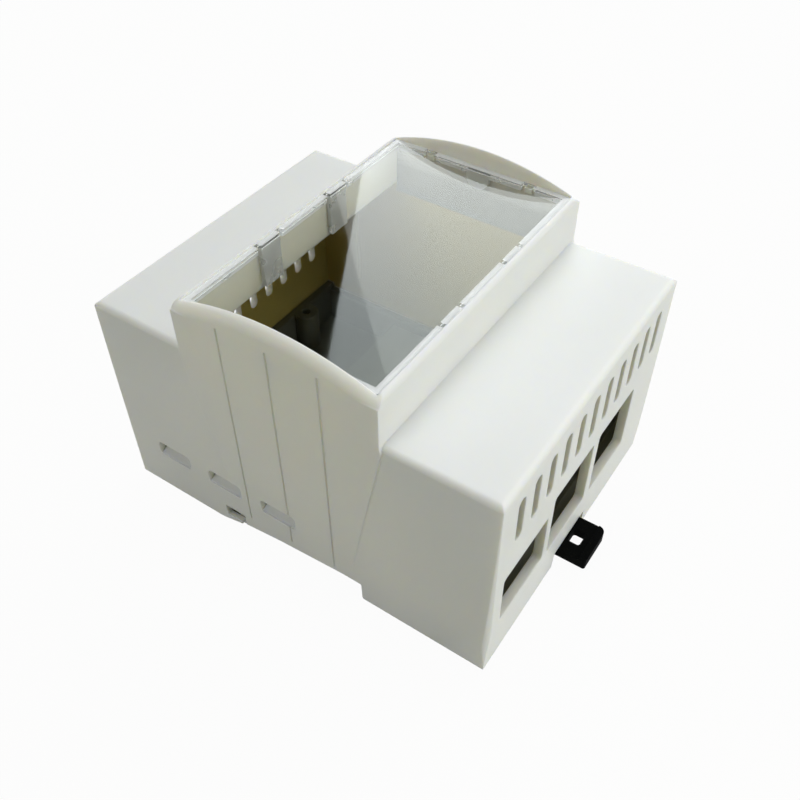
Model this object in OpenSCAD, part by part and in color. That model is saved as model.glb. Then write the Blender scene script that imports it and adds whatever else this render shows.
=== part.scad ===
// Four-module enclosure for a 35 mm top-hat rail: moulded housing, snap-in base,
// clear lift-off window and sliding rail clip.
// Millimetres, +Z up. The origin lies in the plane of the rail seat, under the middle of the nose.
// X runs along the rail, Y along the enclosure's length, with the clip at -Y.

/* [Body] */
// Width of one rail module
module_w = 17.5; // [15:0.5:20]
// Modules across the body
modules = 4; // [3:1:8]
// Length of the body across the rail
body_length = 90; // [84:0.5:100]
// Depth of the feet below the rail seat
foot_drop = 6; // [5.5:0.1:8]
// Height of the shoulders above the rail seat
shoulder_z = 43.65; // [38:0.05:50]
// Radius of the upright corners
corner_r = 1.3; // [0.8:0.1:4]
// Radius of the shoulder top edges
top_edge_r = 1.2; // [0.8:0.1:3]
// Radius of the bottom edges
bottom_edge_r = 1.3; // [0.5:0.1:2]
// Draft of each end face from the crease up to the shoulder
end_draft = 0.55; // [0.2:0.05:0.8]
// Draft of each terminal face from the crease up to the shoulder
side_draft = 0.2; // [0:0.05:0.6]
// Inward lean of the walls below the crease
foot_lean = 0.4; // [0:0.05:0.8]
// Height of the crease on the end faces
end_crease_z = 3; // [1:0.5:6]
// Height of the crease on the terminal faces
side_crease_z = 7; // [4:0.5:8]
// Thickness of the end walls
end_wall = 1.6; // [1.2:0.1:2.5]
// Thickness of the terminal walls
side_wall = 2; // [1.2:0.1:3]
// Thickness of the shoulder plates
shoulder_wall = 1.1; // [1:0.1:3]

/* [Nose] */
// Width of the nose over its long walls
nose_w = 44; // [40:0.5:45]
// Thickness of the long nose walls
nose_wall = 1.1; // [1:0.1:2.5]
// Height of the nose walls and the window above the rail seat
nose_z = 53.9; // [50:0.1:60]
// Height of the crown of the arched end walls
crown_z = 58; // [55:0.1:64]
// Radius of the long top edges of the nose
nose_edge_r = 1.3; // [0.8:0.1:3]
// Radius round the rim of each arch
arch_rim_r = 2.6; // [1:0.1:3]
// Half width of the proud end panel at the shoulders
panel_top_half = 22.3; // [18:0.1:24]
// Half width of the proud end panel at its foot
panel_foot_half = 14.4; // [8:0.1:20]

/* [End face details] */
// Distance between the fine upright grooves
groove_pitch = 10.8; // [8:0.1:12]
// Position of the middle groove along Y
groove_mid_y = 0.6; // [-2:0.1:2]
// Width of a fine groove
groove_w = 0.45; // [0.2:0.05:1]
// Depth of a fine groove
groove_d = 0.3; // [0.1:0.05:0.6]
// Height of the foot of the grooves
groove_foot_z = 1.1; // [0.5:0.1:6]
// Distance of the groove tops below the nose top
groove_top_gap = 0.7; // [0.2:0.1:3]
// Distance between the snap windows
snap_pitch = 14.1; // [11:0.1:16]
// Position of the middle snap window along Y
snap_mid_y = 17.65; // [14:0.05:20]
// Width of a snap window
snap_w = 8.9; // [5:0.1:10]
// Height of a snap window
snap_h = 3.9; // [3:0.1:6]
// Height of the sill of the snap windows
snap_sill_z = 6.05; // [5:0.05:8]
// Corner radius of a snap window
snap_r = 1.1; // [0.3:0.1:1.4]
// Clearance round a snap nose
snap_gap = 0.25; // [0.1:0.05:0.4]
// Height of the outer edge of a snap wedge
wedge_edge = 0.3; // [0.2:0.1:0.8]
// Rise of the ramp of a snap wedge
wedge_rise = 0.8; // [0.4:0.1:2]
// Width of a lug at the end without snap windows
lug_w = 7; // [4:0.5:10]
// Height of a lug
lug_h = 1.6; // [1:0.1:2.4]
// Height of the underside of a lug above the rail seat
lug_z = 1.4; // [0.6:0.1:2]
// Reach of a lug into its pocket
lug_reach = 0.6; // [0.3:0.1:0.8]
// Distance of the guide ribs from the middle along Y
guide_y = 32.85; // [28:0.05:36]
// Width of a guide rib
guide_w = 1.2; // [0.8:0.1:2]
// Reach of a guide rib into the cavity
guide_reach = 1; // [0.6:0.1:2]
// Height of the foot of the guide ribs
guide_foot_z = 11; // [10.5:0.5:20]

/* [Vents and connector openings] */
// Slots in a row
vent_count = 11; // [5:1:13]
// Distance between slots
vent_pitch = 5.55; // [4:0.05:7]
// Width of a slot
vent_w = 2.4; // [1.2:0.1:3]
// Length of a slot
vent_l = 10.4; // [6:0.1:11]
// Height of the foot of the upper row
vent_foot_z = 29.1; // [26:0.1:30]
// Height of the foot of the lower row on the closed side
low_vent_foot_z = 15; // [10:0.1:16]
// Width of a tall opening
tall_open_w = 16.2; // [12:0.1:17]
// Height of a tall opening
tall_open_h = 16.5; // [12:0.1:18]
// Height of the sill of the tall openings
tall_sill_z = 7.1; // [6:0.1:9]
// Middle of the right tall opening
right_open_x = 14.1; // [10:0.1:16]
// Middle of the centre tall opening
mid_open_x = -4.5; // [-6:0.1:-3]
// Width of the low opening
low_open_w = 16.5; // [12:0.1:17]
// Height of the low opening
low_open_h = 12.5; // [10:0.1:16]
// Height of the sill of the low opening
low_sill_z = 7.9; // [7:0.1:10]
// Middle of the low opening
low_open_x = -22.8; // [-24:0.1:-22]
// Corner radius of the openings
open_r = 0.9; // [0.3:0.1:2]

/* [Rail channel] */
// Width of the rail across its flanges
rail_w = 35; // [35:0.1:35.4]
// Middle of the rail along Y
rail_mid_y = 1.2; // [0:0.1:2]
// Width of one rail flange
flange_w = 4; // [3.8:0.1:4.5]
// Thickness of the rail's side web
web_t = 1; // [1:0.1:1.5]
// Height of the slot that takes the fixed flange
hook_slot_h = 1.7; // [1.3:0.1:2.5]
// Clearance between the rail edge and the channel sides
rail_gap = 0.2; // [0.1:0.05:0.6]
// Length of each fixed hook along the rail
hook_l = 12; // [6:0.5:20]
// Depth of the hollow in the outer end of each fixed hook
hook_lead = 3; // [1:0.5:5]
// Width of the rib left beside the hollow of a fixed hook
hook_rib = 1.9; // [1:0.1:2.5]
// Thickness left under the hollow of a fixed hook
hook_sole = 1.2; // [0.8:0.1:2]
// Drop of the centring ribs below the seat
rib_drop = 5.1; // [3:0.1:5.4]
// Drop of the centring ribs at their middle
rib_mid = 3.7; // [2:0.1:4]
// Drop of the centring ribs at their shallow end
rib_shallow = 2.2; // [1:0.1:3]
// Drop of the end walls between the flanges of the rail
wall_bulge = 1.3; // [0.5:0.1:2]
// Drop of the end walls beside the far web of the rail
wall_dip = 2.7; // [1.5:0.1:4]
// Depth of the notch for the far flange below the seat
flange_notch = 2.9; // [1.8:0.1:3.2]
// Thickness of the finger under the notch at its tip
finger_t = 0.6; // [0.4:0.1:1]
// Radius at the near edge of the rail gap
gap_curl = 1.7; // [1:0.1:2]

/* [Base] */
// Thickness of the base plate over the rail
seat_plate = 2.2; // [1.6:0.1:3]
// Thickness of the base floors and walls
base_wall = 1.8; // [1.2:0.1:2.5]
// Gap between the base and the housing walls
base_gap = 0.2; // [0.1:0.05:0.4]
// Height of the rim of the base at its ends
end_rim_z = 4.4; // [3:0.1:5]
// Height of the rim of the base along the terminal faces
side_rim_z = 5.6; // [4:0.1:6]
// Thickness of the snap tongues
tongue_t = 1.2; // [0.8:0.1:2]
// Play of a snapped catch under its edge
catch_gap = 0.1; // [0.1:0.05:0.3]
// Thickness left under the lips of the fixed hooks
hook_skin = 0.4; // [0.2:0.1:1]
// Distance between the board posts across the body
post_span_x = 49; // [40:0.5:52]
// Distance between the board posts along the body
post_span_y = 58; // [50:0.5:62]
// Middle of the board posts across the body
post_mid_x = -5.1; // [-6:0.1:5]
// Middle of the board posts along the body
post_mid_y = 10.3; // [6:0.1:11]
// Height of the board posts
post_z = 6; // [5:0.1:8]
// Radius of a board post
post_r = 3; // [2.4:0.1:3.2]
// Radius of the pilot hole in a post
pilot_r = 1.1; // [0.8:0.1:1.4]
// Depth of the pilot hole in a post
pilot_d = 5; // [3:0.1:5.5]

/* [Window] */
// Thickness of the clear plate
window_t = 1.6; // [1:0.1:2.5]
// Gap round the clear plate
window_gap = 0.15; // [0.1:0.05:0.3]
// Thickness of the rim and the snap tabs
window_rim_t = 0.9; // [0.6:0.1:1.2]
// Depth of the rim under the plate
window_rim_h = 0.9; // [0.5:0.1:2]
// Distance of the snap tabs from the middle
tab_x = 10.5; // [8:0.1:16]
// Width of a snap tab
tab_w = 5.2; // [3:0.1:6]
// Length of a snap tab under the plate
tab_l = 9; // [6:0.1:9.5]
// Height of a catch nose on a snap tab
tab_nose_h = 1.3; // [0.8:0.1:2]
// Height of the edge of a catch nose
catch_edge = 0.4; // [0.2:0.1:0.7]
// Corner radius of the clear plate
window_r = 0.6; // [0.3:0.1:1.5]
// Distance of the rest ribs from the middle
rest_y = 11.7; // [8:0.1:15]
// Width of a rest rib
rest_w = 1.6; // [1:0.1:2.5]
// Height of a rest rib under the plate
rest_h = 1.2; // [1:0.1:6]
// Radius of the half-round tab at each end
thumb_r = 2.7; // [2:0.1:4]

/* [Rail clip] */
// Width of the clip plate
clip_w = 10; // [8:0.1:11]
// Thickness of the clip plate
clip_t = 2.2; // [1.6:0.1:2.4]
// Top of the clip plate below the rail seat
clip_drop = 0.7; // [0.6:0.05:1]
// Reach of the tongue beyond the terminal face
clip_reach = 5.9; // [4:0.1:8]
// Reach of the tooth under the rail flange
tooth_reach = 2.4; // [1.5:0.1:3]
// Travel of the clip
clip_travel = 4; // [3:0.1:5]
// Width of the tool hole
tool_hole_w = 3.6; // [3:0.1:6]
// Length of the tool hole
tool_hole_l = 2.6; // [2:0.1:5]
// Distance of the tool hole from the outer end of the tongue
tool_hole_edge = 3; // [2:0.1:4]
// Corner radius of the tool hole
tool_hole_r = 0.5; // [0.3:0.1:1]
// Clearance round the clip
clip_gap = 0.3; // [0.2:0.05:0.4]
// Width of the notch in the terminal face beyond each side of the clip's slot
notch_side = 1.5; // [0.5:0.1:3]
// Height of the notch above the top of the clip
notch_rise = 0.4; // [0.3:0.1:1]
// Corner radius of the notch
notch_r = 1; // [0.5:0.1:2]
// Radius of the large outer corner of the clip
clip_r = 1.6; // [0.5:0.1:3]
// Radius of the small outer corner of the clip
clip_small_r = 0.5; // [0.3:0.1:1.6]
// Height of the finger lip over the clip plate
lip_rise = 0.3; // [0.2:0.1:1]
// Length of the finger lip
lip_l = 1.6; // [1:0.1:2.5]
// Clearance over the tooth of the clip
tooth_gap = 1.3; // [1.2:0.1:1.5]
// Slope at the tip of the tooth
tooth_slope = 0.7; // [0.4:0.1:1]
// Radius of the bow of a spring arm
bow_r = 9; // [7:0.1:12]
// Thickness of a spring arm
arm_t = 1; // [0.7:0.1:1.2]
// Gap between a spring arm's root and the stem
arm_gap = 1; // [0.6:0.1:1.5]
// Bite of the spring arms into the clip plate
arm_bite = 0.4; // [0.2:0.1:0.8]
// Half the length of a spring arm
arm_half_l = 6; // [4:0.1:7]
// Room for the bow of an arm beside the clip's slot
arm_swing = 3; // [2:0.1:4]
// Room beyond each end of the spring arms
arm_room = 2; // [1:0.1:3]

/* [Hidden] */
$fa = 4;
$fs = 0.4;
eps = 0.01;
over = 5;
body_w = module_w * modules;
half_w = body_w / 2;
half_l = body_length / 2;
foot_z = -foot_drop;
cavity_x = half_w - end_wall;
cavity_y = half_l - side_wall;
cavity_top = shoulder_z - shoulder_wall;
nose_half = nose_w / 2;
nose_in = nose_half - nose_wall;
arch_rise = crown_z - nose_z;
arch_r = (nose_half * nose_half + arch_rise * arch_rise) / (2 * arch_rise);
arch_z = crown_z - arch_r;
rail_low_y = rail_mid_y - rail_w / 2;
rail_high_y = rail_mid_y + rail_w / 2;
flank_low = rail_low_y - rail_gap;
flank_high = rail_high_y + rail_gap;
web_y = rail_high_y - flange_w - web_t - rail_gap;
lip_y = rail_high_y - flange_w + rail_gap;
near_web_y = rail_low_y + flange_w + web_t + rail_gap;
hook_low = foot_z + hook_skin;
base_x = cavity_x - base_gap;
base_y = cavity_y - base_gap;
rim_x = base_x - base_wall;
rim_y = base_y - base_wall;
floor_top = foot_z + base_wall;
plate_low = nose_z - window_t;
clip_top = -clip_drop;
clip_low = clip_top - clip_t;
clip_half = clip_w / 2;
groove_half = clip_half + clip_gap;
clip_end_y = flank_low - clip_gap;
face_y = -half_l;
arm_mid_y = (face_y + clip_end_y) / 2 + clip_travel / 2;
pocket_x = groove_half + arm_swing;
arm_bow = bow_r - sqrt(bow_r * bow_r - arm_half_l * arm_half_l);

// Unit vector from a to b
function dir(a, b) = (b - a) / norm(b - a);

// Half of the inner angle at v
function half_angle(a, v, b) = acos(dir(v, a) * dir(v, b)) / 2;

// Centre of the arc that rounds the corner v
function arc_centre(a, v, b, r) =
    v + r / sin(half_angle(a, v, b)) * (dir(v, a) + dir(v, b)) / norm(dir(v, a) + dir(v, b));

// Convex outline with its own radius at each corner, 0 for a plain corner
module soft_outline(pts, radii) {
    n = len(pts);
    polygon([for (i = [0 : n - 1])
        let (a = pts[(i + n - 1) % n], v = pts[i], b = pts[(i + 1) % n],
             gap = radii[i] > 0 ? radii[i] / tan(half_angle(a, v, b)) : 0)
        each radii[i] > 0 ? [v + gap * dir(v, a), v + gap * dir(v, b)] : [v]]);
    for (i = [0 : n - 1])
        if (radii[i] > 0)
            translate(arc_centre(pts[(i + n - 1) % n], pts[i], pts[(i + 1) % n], radii[i]))
                circle(r = radii[i]);
}

// Rectangle from its middle with one corner radius
module soft_rect(w, h, r) {
    soft_outline([[-w / 2, -h / 2], [w / 2, -h / 2], [w / 2, h / 2], [-w / 2, h / 2]], [r, r, r, r]);
}

// Stands an outline drawn in Y and Z up across X, from x0 to x1
module along_x(x0, x1) {
    translate([x0, 0, 0]) rotate([90, 0, 90]) linear_extrude(x1 - x0) children();
}

// Stands an outline drawn in X and Z up along Y, from y0 to y1
module along_y(y0, y1) {
    translate([0, y1, 0]) rotate([90, 0, 0]) linear_extrude(y1 - y0) children();
}

// Block between two opposite corners
module block(p, q) {
    translate(p) cube(q - p);
}

module both_ends() {
    children();
    mirror([1, 0, 0]) children();
}

module both_sides() {
    children();
    mirror([0, 1, 0]) children();
}

// Outer body under the shoulders: three rounded outlines that meet
module shoulder_body() {
    intersection() {
        along_y(-half_l, half_l)
            soft_outline([[-half_w + foot_lean, foot_z], [half_w - foot_lean, foot_z],
                          [half_w, end_crease_z], [half_w - end_draft, shoulder_z],
                          [-half_w + end_draft, shoulder_z], [-half_w, end_crease_z]],
                         [bottom_edge_r, bottom_edge_r, 0, top_edge_r, top_edge_r, 0]);
        along_x(-half_w, half_w)
            soft_outline([[-half_l + foot_lean, foot_z], [half_l - foot_lean, foot_z],
                          [half_l, side_crease_z], [half_l - side_draft, shoulder_z],
                          [-half_l + side_draft, shoulder_z], [-half_l, side_crease_z]],
                         [bottom_edge_r, bottom_edge_r, 0, top_edge_r, top_edge_r, 0]);
        translate([0, 0, foot_z]) linear_extrude(shoulder_z - foot_z)
            soft_rect(body_w, body_length, corner_r);
    }
}

// Section of the nose: long walls, rounded edges and the arch
module nose_section() {
    edge_y = nose_half - nose_edge_r;
    edge_reach = arch_r - nose_edge_r;
    edge_up = sqrt(edge_reach * edge_reach - edge_y * edge_y);
    intersection() {
        translate([0, arch_z]) circle(r = arch_r);
        polygon([[0, arch_z], [edge_y * 2, arch_z + edge_up * 2], [-edge_y * 2, arch_z + edge_up * 2]]);
    }
    translate([-nose_half, cavity_top]) square([nose_w, arch_z + edge_up - cavity_top]);
    for (side = [-1, 1])
        translate([side * edge_y, arch_z + edge_up]) circle(r = nose_edge_r);
}

// Nose with the rim of both arches rounded about the arch axis
module nose_body() {
    intersection() {
        block([-half_w, -nose_half, cavity_top], [half_w, nose_half, crown_z]);
        along_x(-half_w, half_w) nose_section();
        translate([0, 0, arch_z]) rotate([0, 90, 0])
            rotate_extrude()
                soft_outline([[0, -half_w], [arch_r, -half_w], [arch_r, half_w], [0, half_w]],
                             [0, arch_rim_r, arch_rim_r, 0]);
    }
}

// Proud panel that narrows from the nose down each end face
module end_panels() {
    both_ends()
        along_x(cavity_x, half_w)
            polygon([[-panel_foot_half, end_crease_z], [panel_foot_half, end_crease_z],
                     [panel_top_half, shoulder_z - top_edge_r], [nose_half, shoulder_z],
                     [nose_half, nose_z - nose_edge_r], [-nose_half, nose_z - nose_edge_r],
                     [-nose_half, shoulder_z], [-panel_top_half, shoulder_z - top_edge_r]]);
}

// Outline of the gap that lets the rail through an end wall, with a finger under the far flange
module rail_gap_outline() {
    flank_y = flank_low - rail_gap / 2;
    notch_top = 2 * rail_gap;
    finger_low = -flange_notch - finger_t;
    heel_y = flank_high + flange_w + gap_curl;
    heel_rise = (finger_low - foot_z) / (heel_y - lip_y);
    difference() {
        polygon([[flank_y - gap_curl, foot_z - over], [flank_y - gap_curl, foot_z + gap_curl],
                 [flank_y, foot_z + gap_curl], [flank_y, -rail_gap / 2], [flank_y + rail_gap, rail_gap],
                 [-flange_w * 3, rail_gap], [flange_w, -wall_bulge], [web_y, -wall_dip],
                 [web_y, notch_top], [flank_high, notch_top], [flank_high, -flange_notch],
                 [lip_y, -flange_notch], [lip_y, finger_low],
                 [flank_high, finger_low - heel_rise * flange_w],
                 [heel_y, foot_z], [heel_y, foot_z - over]]);
        translate([flank_y - gap_curl, foot_z + gap_curl]) circle(r = gap_curl);
    }
}

module vent_row(foot) {
    for (i = [0 : vent_count - 1])
        translate([(i - (vent_count - 1) / 2) * vent_pitch, foot + vent_l / 2])
            soft_rect(vent_w, vent_l, vent_w / 2 - eps);
}

module opening(x, sill, w, h) {
    translate([x, sill + h / 2]) soft_rect(w, h, open_r);
}

module housing() color([0.9, 0.91, 0.9]) {
    difference() {
        union() {
            difference() {
                union() {
                    shoulder_body();
                    nose_body();
                    end_panels();
                }
                block([-cavity_x, -cavity_y, foot_z - over], [cavity_x, cavity_y, cavity_top]);
                block([-cavity_x, -nose_in, cavity_top - over], [cavity_x, nose_in, crown_z + over]);
            }
            // Rest ribs for the window on both end walls
            both_ends() both_sides()
                block([cavity_x - window_rim_t, rest_y - rest_w / 2, plate_low - rest_h],
                      [cavity_x + end_wall / 2, rest_y + rest_w / 2, plate_low]);
            // Upright guide ribs inside the end walls
            both_ends() both_sides()
                block([cavity_x - guide_reach, guide_y - guide_w / 2, guide_foot_z],
                      [cavity_x + end_wall / 2, guide_y + guide_w / 2, cavity_top + shoulder_wall / 2]);
        }
        // Fine grooves on the end faces
        both_ends()
            for (i = [-1 : 1])
                translate([0, groove_mid_y + i * groove_pitch, 0])
                    block([half_w - groove_d, -groove_w / 2, groove_foot_z],
                          [half_w + over, groove_w / 2, nose_z - groove_top_gap]);
        // Snap windows through the left end wall
        for (i = [-1 : 1])
            along_x(-half_w - over, -cavity_x + eps)
                translate([snap_mid_y + i * snap_pitch, snap_sill_z + snap_h / 2])
                    soft_rect(snap_w, snap_h, snap_r);
        // Blind pockets for the lugs in the right end wall
        for (i = [-1 : 1])
            translate([cavity_x - eps, snap_mid_y + i * snap_pitch, lug_z - catch_gap])
                block([0, -lug_w / 2 - snap_gap, 0],
                      [lug_reach + eps + catch_gap, lug_w / 2 + snap_gap, lug_h + 2 * catch_gap]);
        along_x(-half_w - over, half_w + over) rail_gap_outline();
        // Connector openings and vents in the open terminal face
        along_y(-half_l - over, -cavity_y + eps) {
            opening(right_open_x, tall_sill_z, tall_open_w, tall_open_h);
            opening(mid_open_x, tall_sill_z, tall_open_w, tall_open_h);
            opening(low_open_x, low_sill_z, low_open_w, low_open_h);
            vent_row(vent_foot_z);
            // Notch for the clip in the bottom edge
            translate([0, foot_z])
                soft_rect(2 * (groove_half + notch_side), 2 * (foot_drop - clip_drop + notch_rise), notch_r);
        }
        // Two rows of vents in the closed terminal face
        along_y(cavity_y - eps, half_l + over) {
            vent_row(vent_foot_z);
            vent_row(low_vent_foot_z);
        }
    }
}

// Foot of the base beside the rail channel, open on top
module base_foot(y_in, y_out) {
    low = min(y_in, y_out);
    high = max(y_in, y_out);
    difference() {
        block([-base_x, low, foot_z], [base_x, high, seat_plate]);
        block([-rim_x, low + base_wall, floor_top], [rim_x, high - base_wall, seat_plate + over]);
    }
}

// Tongue with a wedge that snaps into a window of the end wall
module snap_tongue() {
    nose_x = half_w - snap_gap;
    tongue_half = snap_w / 2 - snap_gap;
    wedge_low = snap_sill_z + catch_gap;
    wedge_high = wedge_low + wedge_edge + wedge_rise;
    block([base_x - tongue_t, -tongue_half, 0], [base_x, tongue_half, snap_sill_z + snap_h + tongue_t / 2]);
    along_y(-tongue_half, tongue_half)
        polygon([[base_x - tongue_t / 2, wedge_low], [nose_x, wedge_low], [nose_x, wedge_low + wedge_edge],
                 [base_x, wedge_high], [base_x - tongue_t / 2, wedge_high]]);
}

// Lug that reaches into its pocket in the right end wall
module lug() {
    block([base_x - base_wall / 2, -lug_w / 2, lug_z], [cavity_x + lug_reach, lug_w / 2, lug_z + lug_h]);
}

// Places of the four board posts
module at_posts() {
    for (x = [-1, 1], y = [-1, 1])
        translate([post_mid_x + x * post_span_x / 2, post_mid_y + y * post_span_y / 2, 0]) children();
}

// Posts on the base, those beside the channel cut level with its sides
module board_posts() {
    difference() {
        at_posts() translate([0, 0, floor_top - eps]) cylinder(r = post_r, h = post_z - floor_top + eps);
        block([-half_w, flank_low - base_wall / 2, foot_z - over], [half_w, flank_high, seat_plate / 2]);
    }
}

// Space for the clip: plate slot, spring pockets and tooth mouth
module clip_space() {
    block([-groove_half, face_y - over, clip_low - clip_gap],
          [groove_half, flank_low + over / 2, clip_top + clip_gap]);
    block([-pocket_x, arm_mid_y - arm_half_l - clip_travel - arm_room, clip_low - clip_gap],
          [pocket_x, arm_mid_y + arm_half_l + arm_room, clip_top + clip_gap]);
    // Open window in the floor between the two rails that carry the clip
    block([-clip_half + base_wall, face_y - over, foot_z - over],
          [clip_half - base_wall, flank_low + over / 2, clip_low]);
}

module base() color([0.86, 0.87, 0.86]) {
    difference() {
        union() {
            // Plate over the rail
            block([-base_x, flank_low - base_wall, 0], [base_x, flank_high + base_wall, seat_plate]);
            base_foot(-base_y, flank_low);
            base_foot(flank_high, base_y);
            // Rim along the ends and the terminal faces
            both_ends() block([rim_x, -base_y, 0], [base_x, base_y, end_rim_z]);
            both_sides() block([-base_x, rim_y, floor_top], [base_x, base_y, side_rim_z]);
            for (i = [-1 : 1])
                translate([0, snap_mid_y + i * snap_pitch, 0]) {
                    mirror([1, 0, 0]) snap_tongue();
                    lug();
                }
            // Housing for the clip inside the foot
            block([-pocket_x - base_wall, -base_y, foot_z], [pocket_x + base_wall, flank_low, seat_plate]);
            // Fixed hooks: lips under the far flange
            both_ends() {
                block([base_x - hook_l, lip_y, hook_low],
                      [base_x - hook_lead, flank_high + base_wall / 2, -hook_slot_h]);
                block([base_x - hook_l, lip_y, hook_low], [base_x, lip_y + hook_rib, -hook_slot_h]);
                block([base_x - hook_l, lip_y, hook_low],
                      [base_x, flank_high + base_wall / 2, hook_low + hook_sole]);
            }
            // Centring ribs in the hollow of the rail
            both_ends()
                along_x(base_x - hook_l, base_x)
                    polygon([[near_web_y, seat_plate / 2], [near_web_y, -rib_shallow], [flange_w, -rib_mid],
                             [web_y, -rib_drop], [web_y, seat_plate / 2]]);
            board_posts();
        }
        clip_space();
        // Pilot holes for the board screws
        at_posts() translate([0, 0, post_z - pilot_d]) cylinder(r = pilot_r, h = pilot_d + over);
    }
}

// Arched outline of a half-round tab
module thumb_outline() {
    translate([-thumb_r, plate_low - thumb_r / 2]) square([2 * thumb_r, thumb_r / 2 + window_t / 2]);
    intersection() {
        translate([0, plate_low - thumb_r / 2]) circle(r = thumb_r);
        translate([-thumb_r, plate_low - 2 * thumb_r]) square([2 * thumb_r, 1.5 * thumb_r]);
    }
}

module window() color([0.85, 0.9, 0.92, 0.4]) {
    plate_x = cavity_x - window_gap;
    plate_y = nose_in - window_gap;
    skirt_x = plate_x - window_gap;
    skirt_y = plate_y - window_gap;
    nose_low = plate_low - tab_l;
    catch_y = nose_in - catch_gap;
    translate([0, 0, plate_low]) linear_extrude(window_t) soft_rect(2 * plate_x, 2 * plate_y, window_r);
    // Rim under the plate, cut back at the tabs and the rest ribs
    difference() {
        block([-skirt_x, -skirt_y, plate_low - window_rim_h], [skirt_x, skirt_y, plate_low + window_t / 2]);
        block([-skirt_x + window_rim_t, -skirt_y + window_rim_t, plate_low - over],
              [skirt_x - window_rim_t, skirt_y - window_rim_t, plate_low]);
        both_ends() both_sides()
            block([skirt_x - 2 * window_rim_t, rest_y - rest_w, plate_low - over],
                  [skirt_x + over, rest_y + rest_w, plate_low]);
        both_ends() both_sides()
            block([tab_x - tab_w / 2 - 1, skirt_y - 2 * window_rim_t, plate_low - over],
                  [tab_x + tab_w / 2 + 1, skirt_y + over, plate_low]);
    }
    // Snap tabs down the long walls
    both_ends() both_sides()
        along_x(tab_x - tab_w / 2, tab_x + tab_w / 2)
            polygon([[skirt_y - window_rim_t, plate_low + window_t / 2], [skirt_y - window_rim_t, nose_low],
                     [skirt_y, nose_low], [catch_y, nose_low + tab_nose_h - catch_edge],
                     [catch_y, nose_low + tab_nose_h], [skirt_y, nose_low + tab_nose_h],
                     [skirt_y, plate_low + window_t / 2]]);
    both_ends() along_x(skirt_x - window_rim_t, skirt_x) thumb_outline();
}

// Outline of the clip plate with its outer corners rounded
module clip_outline(end_y) {
    soft_outline([[-clip_half, end_y], [clip_half, end_y], [clip_half, clip_end_y], [-clip_half, clip_end_y]],
                 [clip_small_r, clip_r, 0, 0]);
}

module rail_clip() color([0.05, 0.05, 0.055]) {
    end_y = face_y - clip_reach;
    hole_y = end_y + tool_hole_edge;
    tooth_y = clip_end_y + clip_gap + rail_gap + tooth_reach;
    stem_half = clip_half - 2 * arm_t - arm_gap;
    difference() {
        union() {
            translate([0, 0, clip_low]) linear_extrude(clip_t) clip_outline(end_y);
            // Raised lip at the outer end
            translate([0, 0, clip_low]) linear_extrude(clip_t + lip_rise)
                intersection() {
                    clip_outline(end_y);
                    translate([-clip_half, end_y]) square([clip_w, lip_l]);
                }
            // Tooth that reaches under the rail flange
            along_x(-clip_half, clip_half)
                polygon([[clip_end_y - eps, clip_low], [tooth_y - 2 * tooth_slope, clip_low],
                         [tooth_y, clip_low + tooth_slope], [tooth_y, -tooth_gap],
                         [clip_end_y - eps, -tooth_gap]]);
        }
        translate([0, hole_y + tool_hole_l / 2, clip_low - over]) linear_extrude(clip_t + 2 * over)
            soft_rect(tool_hole_w, tool_hole_l, tool_hole_r);
        // Waist beside the stem that frees the spring arms
        both_ends()
            block([stem_half, arm_mid_y - arm_half_l, clip_low - over],
                  [clip_half + over, arm_mid_y + arm_half_l, clip_top + over]);
    }
    // Bowed spring arms on both sides of the stem
    both_ends()
        intersection() {
            translate([clip_half - arm_t + arm_bow - bow_r, arm_mid_y, clip_low])
                difference() {
                    cylinder(r = bow_r, h = clip_t);
                    translate([0, 0, -over]) cylinder(r = bow_r - arm_t, h = clip_t + 2 * over);
                }
            block([stem_half + arm_t / 2, arm_mid_y - arm_half_l - arm_bite, clip_low - over],
                  [pocket_x, arm_mid_y + arm_half_l + arm_bite, clip_top + over]);
        }
}

housing();
base();
window();
rail_clip();
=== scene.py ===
import bpy
import math
import numpy as np
from mathutils import Matrix, Vector


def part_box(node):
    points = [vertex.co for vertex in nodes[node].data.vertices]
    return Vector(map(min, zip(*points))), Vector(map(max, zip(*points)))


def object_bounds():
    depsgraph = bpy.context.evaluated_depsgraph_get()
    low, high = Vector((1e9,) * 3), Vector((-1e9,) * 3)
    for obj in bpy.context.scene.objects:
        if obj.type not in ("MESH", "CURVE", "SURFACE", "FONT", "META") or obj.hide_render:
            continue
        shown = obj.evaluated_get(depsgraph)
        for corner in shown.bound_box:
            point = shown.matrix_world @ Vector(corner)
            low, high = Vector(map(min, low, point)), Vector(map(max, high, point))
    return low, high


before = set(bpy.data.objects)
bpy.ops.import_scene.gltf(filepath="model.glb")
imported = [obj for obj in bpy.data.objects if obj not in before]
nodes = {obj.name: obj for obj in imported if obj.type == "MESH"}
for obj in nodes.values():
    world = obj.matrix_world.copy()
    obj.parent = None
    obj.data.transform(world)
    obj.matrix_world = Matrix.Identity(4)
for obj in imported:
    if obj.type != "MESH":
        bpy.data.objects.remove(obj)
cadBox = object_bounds()
print("frame loaded:", sorted(nodes))

cameraSetup = {
    "eye": (-0.11246, -0.07890, 0.15177),
    "target": (0.01567, 0.00833, -0.00434),
    "roll": -0.26,          # degrees, tilt of the horizon
    "lens": 40.456,
    "sensor": 36.0,
    "nearest": 0.01,
    "furthest": 20.0,
}


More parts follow.
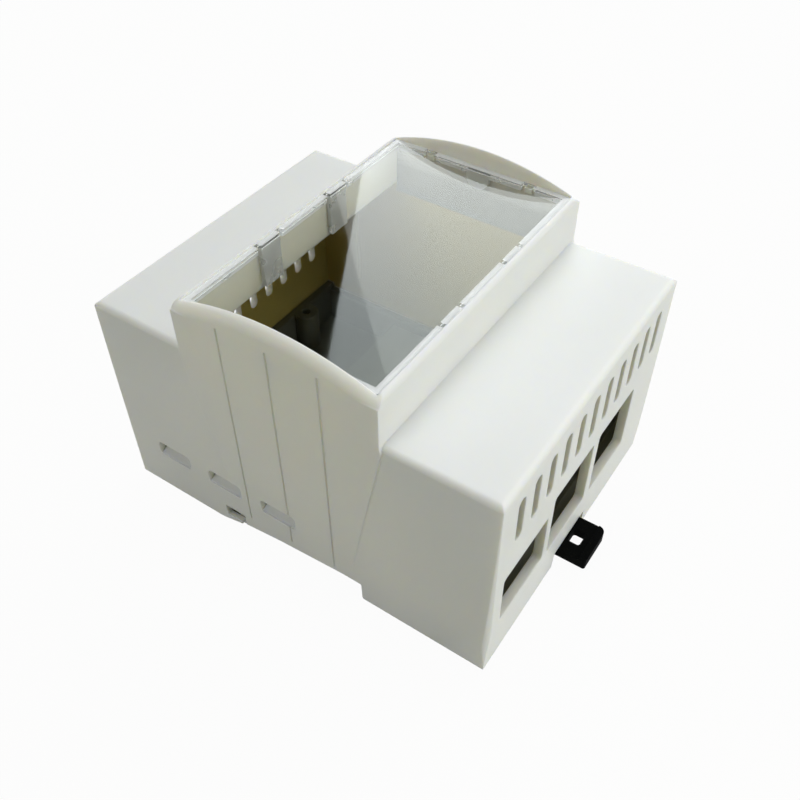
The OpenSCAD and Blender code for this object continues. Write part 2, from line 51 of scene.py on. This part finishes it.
def makeCamera(setup):
    eye = Vector(setup["eye"])
    look = (Vector(setup["target"]) - eye).normalized()
    turn = look.to_track_quat("-Z", "Y").to_matrix()
    turn = turn @ Matrix.Rotation(math.radians(setup["roll"]), 3, "Z")
    data = bpy.data.cameras.new("camera")
    data.lens = setup["lens"]
    data.sensor_width = setup["sensor"]
    data.clip_start = setup["nearest"]
    data.clip_end = setup["furthest"]
    cam = bpy.data.objects.new("camera", data)
    cam.matrix_world = Matrix.Translation(eye) @ turn.to_4x4()
    bpy.context.scene.collection.objects.link(cam)
    bpy.context.scene.camera = cam


makeCamera(cameraSetup)
print("camera placed")


# Adds a shader node and sets its plain inputs by name, with _ for a space
def addNode(tree, kind, place=(0, 0), **inputs):
    node = tree.nodes.new(kind)
    node.location = place
    for name, value in inputs.items():
        node.inputs[name.replace("_", " ")].default_value = value
    return node


# Adds a maths node; each of its two terms is a number or an output
def addMath(tree, operation, first, second):
    node = tree.nodes.new("ShaderNodeMath")
    node.operation = operation
    for socket, value in zip(node.inputs, (first, second)):
        if isinstance(value, (int, float)):
            socket.default_value = value
        else:
            tree.links.new(value, socket)
    return node.outputs[0]


# Adds a colour mix; its factor and its two colours are plain values or outputs
def mixColours(tree, factor, first, second, place=(0, 0)):
    node = tree.nodes.new("ShaderNodeMix")
    node.data_type = "RGBA"
    node.location = place
    for name, value in (("Factor", factor), ("A", first), ("B", second)):
        if isinstance(value, (float, tuple)):
            node.inputs[name].default_value = value
        else:
            tree.links.new(value, node.inputs[name])
    return node.outputs["Result"]


def newMaterial(name):
    mat = bpy.data.materials.new(name)
    mat.use_nodes = True
    tree = mat.node_tree
    tree.nodes.clear()
    out = tree.nodes.new("ShaderNodeOutputMaterial")
    out.location = (900, 0)
    return mat, tree, out


# Makes the named inputs, with their defaults, and the named outputs of a group
def groupSockets(group, ins, outs):
    for name, kind, value in ins:
        socket = group.interface.new_socket(name=name, in_out="INPUT", socket_type=kind)
        socket.default_value = value
    for name, kind in outs:
        group.interface.new_socket(name=name, in_out="OUTPUT", socket_type=kind)
    return group.nodes.new("NodeGroupInput"), group.nodes.new("NodeGroupOutput")


def objectCoords(tree):
    return tree.nodes.new("ShaderNodeTexCoord").outputs["Object"]


grainShape = {
    "detail": 3.0, "roughness": 0.6,
    "pitShare": 0.6,         # depth of the pits beside the fine noise
    "cloudDetail": 4.0, "cloudRoughness": 0.55, "cloudDistortion": 0.4,
    "cloudFrom": 0.35, "cloudTo": 0.7,
}


# Spark-eroded skin of a moulded part: fine noise and pits give a height, and large soft clouds
# give a slight change of tone and of gloss
def makeMouldedGrain(shape):
    group = bpy.data.node_groups.new("mouldedGrain", "ShaderNodeTree")
    gin, gout = groupSockets(
        group,
        [("Colour", "NodeSocketColor", (0.8, 0.8, 0.8, 1)),
         ("Tint", "NodeSocketColor", (0.7, 0.7, 0.65, 1)),
         ("Grain Scale", "NodeSocketFloat", 2500.0),
         ("Cloud Scale", "NodeSocketFloat", 40.0),
         ("Cloud Amount", "NodeSocketFloat", 0.12),
         ("Roughness", "NodeSocketFloat", 0.45),
         ("Roughness Change", "NodeSocketFloat", 0.1)],
        [("Colour", "NodeSocketColor"),
         ("Roughness", "NodeSocketFloat"),
         ("Height", "NodeSocketFloat")])
    coords = objectCoords(group)
    link = group.links.new
    fine = addNode(group, "ShaderNodeTexNoise", Detail=shape["detail"],
                   Roughness=shape["roughness"])
    link(coords, fine.inputs["Vector"])
    link(gin.outputs["Grain Scale"], fine.inputs["Scale"])
    pits = addNode(group, "ShaderNodeTexVoronoi")
    link(coords, pits.inputs["Vector"])
    link(gin.outputs["Grain Scale"], pits.inputs["Scale"])
    shallow = addMath(group, "MULTIPLY", pits.outputs["Distance"], shape["pitShare"])
    link(addMath(group, "ADD", shallow, fine.outputs["Fac"]), gout.inputs["Height"])
    cloud = addNode(group, "ShaderNodeTexNoise", Detail=shape["cloudDetail"],
                    Roughness=shape["cloudRoughness"], Distortion=shape["cloudDistortion"])
    link(coords, cloud.inputs["Vector"])
    link(gin.outputs["Cloud Scale"], cloud.inputs["Scale"])
    spread = addNode(group, "ShaderNodeMapRange", From_Min=shape["cloudFrom"],
                     From_Max=shape["cloudTo"])
    link(cloud.outputs["Fac"], spread.inputs["Value"])
    amount = addMath(group, "MULTIPLY", spread.outputs[0], gin.outputs["Cloud Amount"])
    mixed = mixColours(group, amount, gin.outputs["Colour"], gin.outputs["Tint"])
    link(mixed, gout.inputs["Colour"])
    change = addMath(group, "MULTIPLY", spread.outputs[0], gin.outputs["Roughness Change"])
    link(addMath(group, "ADD", change, gin.outputs["Roughness"]), gout.inputs["Roughness"])
    return group


edgeShape = {"samples": 6, "flatDot": 1.0, "wornDot": 0.75}


# Edges worn a little paler, from the angle between the surface and its own rounded normal
def makeEdgeRub(shape):
    group = bpy.data.node_groups.new("edgeRub", "ShaderNodeTree")
    gin, gout = groupSockets(
        group,
        [("Radius", "NodeSocketFloat", 0.0004)],
        [("Mask", "NodeSocketFloat"), ("Normal", "NodeSocketVector")])
    link = group.links.new
    bevel = group.nodes.new("ShaderNodeBevel")
    bevel.samples = shape["samples"]
    link(gin.outputs["Radius"], bevel.inputs["Radius"])
    surface = group.nodes.new("ShaderNodeNewGeometry")
    dot = group.nodes.new("ShaderNodeVectorMath")
    dot.operation = "DOT_PRODUCT"
    link(bevel.outputs["Normal"], dot.inputs[0])
    link(surface.outputs["True Normal"], dot.inputs[1])
    mask = addNode(group, "ShaderNodeMapRange", From_Min=shape["flatDot"],
                   From_Max=shape["wornDot"])
    link(dot.outputs["Value"], mask.inputs["Value"])
    link(mask.outputs[0], gout.inputs["Mask"])
    link(bevel.outputs["Normal"], gout.inputs["Normal"])
    return group


# 1 inside an upright box about the middle, between two heights, and 0 outside it; it fades in
# above the lower height
def makeInsideBox():
    group = bpy.data.node_groups.new("insideBox", "ShaderNodeTree")
    gin, gout = groupSockets(
        group,
        [("Half X", "NodeSocketFloat", 0.03), ("Half Y", "NodeSocketFloat", 0.04),
         ("Low Z", "NodeSocketFloat", 0.0), ("High Z", "NodeSocketFloat", 0.04),
         ("Fade", "NodeSocketFloat", 0.00001)],
        [("Mask", "NodeSocketFloat")])
    link = group.links.new
    split = group.nodes.new("ShaderNodeSeparateXYZ")
    link(objectCoords(group), split.inputs[0])
    x = addMath(group, "ABSOLUTE", split.outputs["X"], 0)
    y = addMath(group, "ABSOLUTE", split.outputs["Y"], 0)
    x = addMath(group, "LESS_THAN", x, gin.outputs["Half X"])
    y = addMath(group, "LESS_THAN", y, gin.outputs["Half Y"])
    rise = addMath(group, "SUBTRACT", split.outputs["Z"], gin.outputs["Low Z"])
    fade = group.nodes.new("ShaderNodeMapRange")
    link(rise, fade.inputs["Value"])
    link(gin.outputs["Fade"], fade.inputs["From Max"])
    high = addMath(group, "LESS_THAN", split.outputs["Z"], gin.outputs["High Z"])
    inPlan = addMath(group, "MULTIPLY", x, y)
    inHeight = addMath(group, "MULTIPLY", fade.outputs[0], high)
    link(addMath(group, "MULTIPLY", inPlan, inHeight), gout.inputs["Mask"])
    return group


mouldedGrain = makeMouldedGrain(grainShape)
edgeRub = makeEdgeRub(edgeShape)
insideBox = makeInsideBox()


# Puts a node group into a material and sets its plain inputs by name
def useGroup(tree, group, place=(0, 0), **inputs):
    node = tree.nodes.new("ShaderNodeGroup")
    node.node_tree = group
    node.location = place
    for name, value in inputs.items():
        node.inputs[name.replace("_", " ")].default_value = value
    return node


sharp = 0.00001     # fade of a core box that starts at once
housingLook = {
    "colour": (0.81, 0.815, 0.77, 1),
    "tint": (0.77, 0.775, 0.72, 1),
    "worn": (0.86, 0.87, 0.84, 1),
    "shadeBoxes": [     # half X, half Y, low Z, high Z, fade and colour of painted shade: inside each box the hollows are coloured darker, standing in for the shade that falls there
        (0.03345, 0.04305, -0.0100, 0.0426, sharp, (0.43, 0.355, 0.095, 1)),
        (0.03345, 0.0210, 0.0400, 0.0530, sharp, (0.26, 0.25, 0.18, 1)),
        (0.03345, 0.0210, 0.0465, 0.0530, 0.0060, (0.72, 0.70, 0.63, 1)),
        (0.03330, 0.0210, 0.0425, 0.0530, sharp, (0.68, 0.68, 0.58, 1)),
    ],
    "grainScale": 2600.0,
    "cloudScale": 28.0,
    "cloudAmount": 0.35,
    "roughness": 0.42,
    "roughnessChange": 0.10,
    "grainDepth": 0.00002,
    "grainStrength": 0.08,
    "edgeRadius": 0.00035,
    "specular": 0.3,
    "ior": 1.5,
    "scatter": 0.6,
    "scatterDepth": 0.0022,
    "scatterReach": (1.0, 0.85, 0.5),
}
# Painted shade: inside the base the colour is nearly black-olive, standing in for the shade in its
# hollows
baseLook = dict(housingLook, roughness=0.48, edgeRadius=0.0003,
                shadeBoxes=[(0.0331, 0.0436, 0.0010, 0.0120, sharp, (0.11, 0.115, 0.085, 1)),
                           (0.0330, 0.0424, -0.0050, 0.0012, sharp, (0.11, 0.115, 0.085, 1))])
clipLook = dict(housingLook, shadeBoxes=[], colour=(0.002, 0.0022, 0.002, 1),
                tint=(0.004, 0.0045, 0.004, 1), worn=(0.009, 0.0095, 0.009, 1),
                grainStrength=0.3, grainScale=3200.0, cloudScale=120.0, roughness=0.6,
                roughnessChange=0.14, edgeRadius=0.00025, specular=0.02, scatter=0.0)


def mouldedPlastic(name, look):
    mat, tree, out = newMaterial(name)
    link = tree.links.new
    grain = useGroup(tree, mouldedGrain, (-900, 100), Colour=look["colour"], Tint=look["tint"],
                     Grain_Scale=look["grainScale"], Cloud_Scale=look["cloudScale"],
                     Cloud_Amount=look["cloudAmount"], Roughness=look["roughness"],
                     Roughness_Change=look["roughnessChange"])
    edge = useGroup(tree, edgeRub, (-900, -300), Radius=look["edgeRadius"])
    colour = mixColours(tree, edge.outputs["Mask"], grain.outputs["Colour"], look["worn"],
                        (-600, 0))
    # Painted shade: each box darkens the colour inside it, in place of the shade inside the hollow
    for halfX, halfY, lowZ, highZ, fade, shadeColour in look["shadeBoxes"]:
        shadeMask = useGroup(tree, insideBox, (-600, 300), Half_X=halfX, Half_Y=halfY, Low_Z=lowZ,
                        High_Z=highZ, Fade=fade)
        colour = mixColours(tree, shadeMask.outputs["Mask"], colour, shadeColour, (-300, 0))
    bump = addNode(tree, "ShaderNodeBump", (100, -300), Strength=look["grainStrength"],
                   Distance=look["grainDepth"])
    link(grain.outputs["Height"], bump.inputs["Height"])
    link(edge.outputs["Normal"], bump.inputs["Normal"])
    body = addNode(tree, "ShaderNodeBsdfPrincipled", (500, 0), Specular_IOR_Level=look["specular"],
                   IOR=look["ior"], Subsurface_Weight=look["scatter"],
                   Subsurface_Scale=look["scatterDepth"], Subsurface_Radius=look["scatterReach"])
    link(colour, body.inputs["Base Color"])
    link(grain.outputs["Roughness"], body.inputs["Roughness"])
    link(bump.outputs["Normal"], body.inputs["Normal"])
    link(body.outputs[0], out.inputs["Surface"])
    return mat


# Gives a CAD node its finishes, the first one everywhere
def dress(node, *mats):
    mesh = nodes[node].data
    mesh.materials.clear()
    for mat in mats:
        mesh.materials.append(mat)
    return mesh


dress("housing", mouldedPlastic("housingPlastic", housingLook))
dress("base", mouldedPlastic("basePlastic", baseLook))
dress("rail_clip", mouldedPlastic("clipPlastic", clipLook))
print("moulded plastics made")

windowLook = {
    "colour": (0.985, 0.99, 0.985, 1),
    "ior": 1.58,
    "gleam": (0.51, 0.57, 0.53, 1),
    "roughness": 0.02,
    "hazeAmount": 0.015,
    "hazeScale": 60.0,
    "shade": (0.93, 0.945, 0.94, 1),    # what the clear plate lets through to lamps
    "hazeDetail": 5.0, "hazeFrom": 0.45, "hazeTo": 0.75,
    "waveScale": 35.0, "waveDetail": 1.0, "waveStrength": 0.2,
    "waviness": 0.00006,
    "plateThickness": 0.0016, "seam": 0.00005,     # the faces this far below the plate are frosted
    "bandWidth": 0.0013,     # milky band round the plate over its rim
    "restY": 0.0117, "restHalf": 0.0014,     # gap in the band over each rest rib
    "tabX": 0.0105, "tabHalf": 0.0031,       # where the side tabs stand, and half their width
    "tabGapHalf": 0.0005,                    # gap in the band beside each tab
    "frostColour": (0.88, 0.89, 0.87, 1),
    "bandShare": 0.6,        # how milky the band is, from 0, clear, to 1
    "frostClear": 0.65,      # share of light that the etched rim and tabs let through
    "frostRoughness": 0.25, "frostChange": 0.15,
    "frostTint": (0.80, 0.82, 0.80, 1),
    "frostGrain": 3000.0, "frostCloud": 160.0, "frostCloudAmount": 0.5,
    "frostBump": 0.5, "frostDepth": 0.00003,
}


# 1 on the milky band round the edge of the plate, with gaps at the rest ribs and beside the tabs
def bandMask(tree, look):
    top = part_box("window")[1]
    split = tree.nodes.new("ShaderNodeSeparateXYZ")
    tree.links.new(objectCoords(tree), split.inputs[0])
    x = addMath(tree, "ABSOLUTE", split.outputs["X"], 0)
    y = addMath(tree, "ABSOLUTE", split.outputs["Y"], 0)
    endBand = addMath(tree, "GREATER_THAN", x, top[0] - look["bandWidth"])
    sideBand = addMath(tree, "GREATER_THAN", y, top[1] - look["bandWidth"])
    restGap = addMath(tree, "ABSOLUTE", addMath(tree, "SUBTRACT", y, look["restY"]), 0)
    offRest = addMath(tree, "GREATER_THAN", restGap, look["restHalf"])
    endBand = addMath(tree, "MULTIPLY", endBand, offRest)
    fromTab = addMath(tree, "ABSOLUTE", addMath(tree, "SUBTRACT", x, look["tabX"]), 0)
    fromEdge = addMath(tree, "ABSOLUTE", addMath(tree, "SUBTRACT", fromTab, look["tabHalf"]), 0)
    tabGap = addMath(tree, "LESS_THAN", fromEdge, look["tabGapHalf"])
    sideBand = addMath(tree, "MULTIPLY", sideBand, addMath(tree, "SUBTRACT", 1.0, tabGap))
    return addMath(tree, "MAXIMUM", endBand, sideBand)


# Clear plate with a milky band round it, which lamps shine straight through
def clearPlastic(name, look):
    mat, tree, out = newMaterial(name)
    link = tree.links.new
    coords = objectCoords(tree)
    haze = addNode(tree, "ShaderNodeTexNoise", (-600, 0), Scale=look["hazeScale"],
                   Detail=look["hazeDetail"])
    link(coords, haze.inputs["Vector"])
    gloss = addNode(tree, "ShaderNodeMapRange", (-300, 0), From_Min=look["hazeFrom"],
                    From_Max=look["hazeTo"], To_Min=look["roughness"],
                    To_Max=look["roughness"] + look["hazeAmount"])
    link(haze.outputs["Fac"], gloss.inputs["Value"])
    wave = addNode(tree, "ShaderNodeTexNoise", (-600, -300), Scale=look["waveScale"],
                   Detail=look["waveDetail"])
    link(coords, wave.inputs["Vector"])
    bump = addNode(tree, "ShaderNodeBump", (-200, -300), Strength=look["waveStrength"],
                   Distance=look["waviness"])
    link(wave.outputs["Fac"], bump.inputs["Height"])
    body = addNode(tree, "ShaderNodeBsdfPrincipled", (200, 0), Base_Color=look["colour"],
                   IOR=look["ior"], Transmission_Weight=1.0, Specular_Tint=look["gleam"])
    link(gloss.outputs[0], body.inputs["Roughness"])
    link(bump.outputs["Normal"], body.inputs["Normal"])
    milky = addNode(tree, "ShaderNodeBsdfPrincipled", (200, 400), Base_Color=look["frostColour"],
                    IOR=look["ior"], Roughness=look["frostRoughness"])
    banded = tree.nodes.new("ShaderNodeMixShader")
    link(addMath(tree, "MULTIPLY", bandMask(tree, look), look["bandShare"]), banded.inputs[0])
    link(body.outputs[0], banded.inputs[1])
    link(milky.outputs[0], banded.inputs[2])
    through = addNode(tree, "ShaderNodeBsdfTransparent", (200, -400), Color=look["shade"])
    rays = tree.nodes.new("ShaderNodeLightPath")
    pick = tree.nodes.new("ShaderNodeMixShader")
    pick.location = (600, 0)
    link(rays.outputs["Is Shadow Ray"], pick.inputs[0])
    link(banded.outputs[0], pick.inputs[1])
    link(through.outputs[0], pick.inputs[2])
    link(pick.outputs[0], out.inputs["Surface"])
    return mat


# Etched rim and tabs under the plate, partly milky
def frostedPlastic(name, look):
    mat, tree, out = newMaterial(name)
    link = tree.links.new
    grain = useGroup(tree, mouldedGrain, (-500, 0), Colour=look["frostColour"],
                     Tint=look["frostTint"], Grain_Scale=look["frostGrain"],
                     Cloud_Scale=look["frostCloud"], Cloud_Amount=look["frostCloudAmount"],
                     Roughness=look["frostRoughness"], Roughness_Change=look["frostChange"])
    bump = addNode(tree, "ShaderNodeBump", (-100, -300), Strength=look["frostBump"],
                   Distance=look["frostDepth"])
    link(grain.outputs["Height"], bump.inputs["Height"])
    body = addNode(tree, "ShaderNodeBsdfPrincipled", (200, 0), IOR=look["ior"],
                   Transmission_Weight=look["frostClear"])
    link(grain.outputs["Colour"], body.inputs["Base Color"])
    link(grain.outputs["Roughness"], body.inputs["Roughness"])
    link(bump.outputs["Normal"], body.inputs["Normal"])
    link(body.outputs[0], out.inputs["Surface"])
    return mat


# The faces below the plate take the second slot
def dressWindow(look):
    clear = clearPlastic("clearPlastic", look)
    mesh = dress("window", clear, frostedPlastic("frostedPlastic", look))
    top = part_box("window")[1][2]
    middles = np.zeros(len(mesh.polygons) * 3, np.float32)
    mesh.polygons.foreach_get("center", middles)
    below = middles.reshape(-1, 3)[:, 2] < top - look["plateThickness"] - look["seam"]
    mesh.polygons.foreach_set("material_index", below.astype(np.int32))
    mesh.update()


dressWindow(windowLook)
print("clear window made")

floorSetup = {
    "half": 2.5,
    "gap": 0.00002,          # below the lowest point of the part
    "colour": (0.54, 0.55, 0.48, 1),
    "whiteShare": 0.96,      # share of plain white that the camera sees on the floor
}
lightSetup = {
    "world": 0.16,
    "worldTint": (1.0, 0.98, 0.93),
}
# azimuth runs from +X towards +Y, and brightness is the panel's own
panelSetup = {
    "azimuth": 1.0, "distance": 1.76, "height": 1.44, "tilt": 22.0,
    "width": 2.6, "tall": 1.92, "brightness": 2.7, "colour": (0.95, 0.985, 1.03),
}
lampSetup = [
    {"name": "overheadLamp", "place": (0.0, 0.1, 1.15), "size": 0.6, "watts": 2.9,
     "colour": (0.97, 1.0, 1.04)},
    {"name": "leftLamp", "place": (-1.1, 0.25, 1.15), "size": 0.9, "watts": 4.5,
     "colour": (1.0, 1.0, 1.0)},
    {"name": "sideLamp", "place": (0.10, -1.0, 0.26), "size": 0.6, "watts": 4.3,
     "colour": (0.98, 1.0, 1.03)},
]
lampAim = (0, 0, 0.02)
cardSetup = {
    "azimuth": 60.0, "distance": 2.4, "height": 1.84, "tilt": 35.0,
    "width": 1.9, "tall": 2.4, "colour": (0.004, 0.004, 0.004, 1),
}


# 1 for rays that show the background: straight from the camera, mirrored or through glass, as
# long as no matt surface has scattered them
def seenRays(tree):
    rays = tree.nodes.new("ShaderNodeLightPath")
    either = addMath(tree, "MAXIMUM", rays.outputs["Is Camera Ray"], rays.outputs["Is Glossy Ray"])
    either = addMath(tree, "MAXIMUM", either, rays.outputs["Is Transmission Ray"])
    unscattered = addMath(tree, "LESS_THAN", rays.outputs["Diffuse Depth"], 0.5)
    return addMath(tree, "MULTIPLY", either, unscattered)


# Flat four-sided sheet from its middle and its two half-length directions
def makeSheet(name, middle, across, up, mat):
    corner = np.array(middle) + np.outer([-1, 1, 1, -1], across) + np.outer([-1, -1, 1, 1], up)
    mesh = bpy.data.meshes.new(name)
    mesh.from_pydata(corner.tolist(), [], [(0, 1, 2, 3)])
    mesh.materials.append(mat)
    sheet = bpy.data.objects.new(name, mesh)
    bpy.context.scene.collection.objects.link(sheet)
    return sheet


def makeFloor(setup):
    mat, tree, out = newMaterial("floorWhite")
    link = tree.links.new
    paper = addNode(tree, "ShaderNodeBsdfDiffuse", (0, 0), Color=setup["colour"])
    white = addNode(tree, "ShaderNodeEmission", (0, -200), Color=(1, 1, 1, 1), Strength=1.0)
    pick = tree.nodes.new("ShaderNodeMixShader")
    link(addMath(tree, "MULTIPLY", seenRays(tree), setup["whiteShare"]), pick.inputs[0])
    link(paper.outputs[0], pick.inputs[1])
    link(white.outputs[0], pick.inputs[2])
    link(pick.outputs[0], out.inputs["Surface"])
    half = setup["half"]
    makeSheet("floor", (0, 0, cadBox[0].z - setup["gap"]), (half, 0, 0), (0, half, 0), mat)


# White to what shows the background, and a soft sky with less strength to everything else
def makeWorld(setup):
    world = bpy.data.worlds.new("studio")
    world.use_nodes = True
    tree = world.node_tree
    tree.nodes.clear()
    link = tree.links.new
    out = tree.nodes.new("ShaderNodeOutputWorld")
    soft = addNode(tree, "ShaderNodeBackground", Color=(*setup["worldTint"], 1),
                   Strength=setup["world"])
    white = addNode(tree, "ShaderNodeBackground", Color=(1, 1, 1, 1), Strength=1.0)
    pick = tree.nodes.new("ShaderNodeMixShader")
    link(seenRays(tree), pick.inputs[0])
    link(soft.outputs[0], pick.inputs[1])
    link(white.outputs[0], pick.inputs[2])
    link(pick.outputs[0], out.inputs["Surface"])
    bpy.context.scene.world = world


# Middle and axes of an upright panel at an azimuth, leaning its top towards the object
def panelFrame(setup):
    turn = math.radians(setup["azimuth"])
    lean = math.radians(setup["tilt"])
    away = np.array([math.cos(turn), math.sin(turn), 0])
    across = np.array([-math.sin(turn), math.cos(turn), 0])
    up = np.array([0, 0, 1]) * math.cos(lean) - away * math.sin(lean)
    return away * setup["distance"] + np.array([0, 0, setup["height"]]), across, up


def addLamp(name, data, matrix):
    lamp = bpy.data.objects.new(name, data)
    lamp.matrix_world = matrix
    lamp.visible_camera = False
    bpy.context.scene.collection.objects.link(lamp)


# The large soft panel beside the object, whose brightness gives its power by its area
def makePanel(setup):
    middle, across, up = panelFrame(setup)
    data = bpy.data.lights.new("softPanel", "AREA")
    data.shape = "RECTANGLE"
    data.size = setup["width"]
    data.size_y = setup["tall"]
    data.energy = setup["brightness"] * math.pi * setup["width"] * setup["tall"]
    data.color = setup["colour"]
    axes = np.array([across, up, np.cross(across, up)]).T
    matrix = Matrix([[*axes[row], middle[row]] for row in range(3)] + [[0, 0, 0, 1]])
    addLamp("softPanel", data, matrix)


def makeLamp(setup, aim):
    data = bpy.data.lights.new(setup["name"], "AREA")
    data.shape = "DISK"
    data.size = setup["size"]
    data.energy = setup["watts"]
    data.color = setup["colour"]
    place = Vector(setup["place"])
    turn = (Vector(aim) - place).to_track_quat("-Z", "Y").to_matrix().to_4x4()
    addLamp(setup["name"], data, Matrix.Translation(place) @ turn)


# A black card beside the soft panel, which only mirrored rays and rays through glass meet
def makeCard(setup):
    mat, tree, out = newMaterial("cardBlack")
    black = addNode(tree, "ShaderNodeBsdfDiffuse", Color=setup["colour"])
    tree.links.new(black.outputs[0], out.inputs["Surface"])
    middle, across, up = panelFrame(setup)
    card = makeSheet("card", middle, across * setup["width"] / 2, up * setup["tall"] / 2, mat)
    card.visible_camera = False
    card.visible_diffuse = False
    card.visible_shadow = False


makeFloor(floorSetup)
makeWorld(lightSetup)
makePanel(panelSetup)
makeCard(cardSetup)
for setup in lampSetup:
    makeLamp(setup, lampAim)
bpy.context.scene.view_settings.view_transform = "Standard"
print("floor and lights placed")
